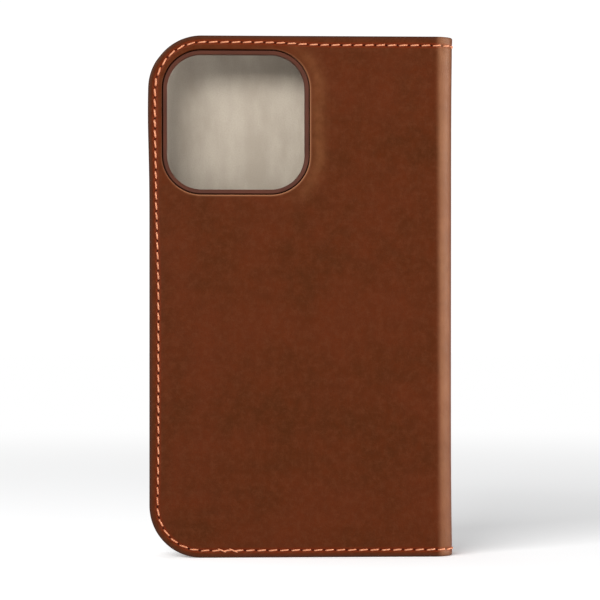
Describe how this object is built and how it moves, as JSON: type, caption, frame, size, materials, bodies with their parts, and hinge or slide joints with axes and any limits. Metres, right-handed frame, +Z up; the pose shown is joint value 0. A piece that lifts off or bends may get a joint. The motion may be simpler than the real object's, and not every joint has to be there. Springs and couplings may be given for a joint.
{
  "type": "phone wallet case",
  "caption": "Leather book-style phone wallet case with a moulded tray, camera window, folding spine, magnetic closure, card slots and a cash pocket.",
  "frame": {"origin": "under the middle of the closed case, in the plane of the lower edge that it stands on", "axes": "+Z up along the case's height, +X from the free edge to the spine, +Y from the back panel with the camera window to the front cover"},
  "size_m": [0.089, 0.0182, 0.152],
  "materials": {
    "cover_leather": "smooth pull-up leather, satin",
    "pocket_leather": "thin skived leather, satin",
    "lining": "microfibre suede, matte",
    "moulding": "matte",
    "thread": "waxed twisted thread",
    "greyboard": "matte board",
    "steel": "nickel plated",
    "adhesive": "adhesive film"
  },
  "bodies": {
    "back": {"back_leather": "cover_leather", "back_board": "greyboard", "back_lining": "lining", "back_stitching": "thread", "bonding_sheet": "adhesive", "tray_shell": "moulding", "tray_lining": "lining", "camera_bezel": "moulding", "catch_plate_lower": "steel", "catch_plate_upper": "steel"},
    "spine": {"spine_leather": "cover_leather", "spine_board": "greyboard", "spine_lining": "lining", "spine_stitching": "thread"},
    "front": {"front_leather": "cover_leather", "front_board": "greyboard", "front_lining": "lining", "front_stitching": "thread", "closure_magnet_lower": "steel", "closure_magnet_upper": "steel", "cash_pocket_panel": "pocket_leather", "cash_pocket_strip": "pocket_leather", "card_panel_1": "pocket_leather", "card_panel_2": "pocket_leather", "card_panel_3": "pocket_leather", "card_strips_1": "pocket_leather", "card_strips_2": "pocket_leather", "card_strips_3": "pocket_leather", "card_stitching": "thread"},
    "side_key": {"side_button": "moulding"},
    "volume_up_key": {"volume_up_button": "moulding"},
    "volume_down_key": {"volume_down_button": "moulding"},
    "action_key": {"action_button": "moulding"}
  },
  "joints": [
    {"name": "spine_fold", "type": "hinge", "parent": "back", "child": "spine", "pos_m": [0.04274, -0.00734, 0.076], "axis": [0, 0, -1], "range_deg": [0, 180]},
    {"name": "front_fold", "type": "hinge", "parent": "spine", "child": "front", "pos_m": [0.04274, 0.00734, 0.076], "axis": [0, 0, -1], "range_deg": [0, 180]},
    {"name": "side_press", "type": "slide", "parent": "back", "child": "side_key", "axis": [1, 0, 0], "range_m": [0, 0.0005], "stiffness_N_per_m": 1500},
    {"name": "volume_up_press", "type": "slide", "parent": "back", "child": "volume_up_key", "axis": [-1, 0, 0], "range_m": [0, 0.0005], "stiffness_N_per_m": 1500},
    {"name": "volume_down_press", "type": "slide", "parent": "back", "child": "volume_down_key", "axis": [-1, 0, 0], "range_m": [0, 0.0005], "stiffness_N_per_m": 1500},
    {"name": "action_press", "type": "slide", "parent": "back", "child": "action_key", "axis": [-1, 0, 0], "range_m": [0, 0.0005], "stiffness_N_per_m": 1500}
  ]
}
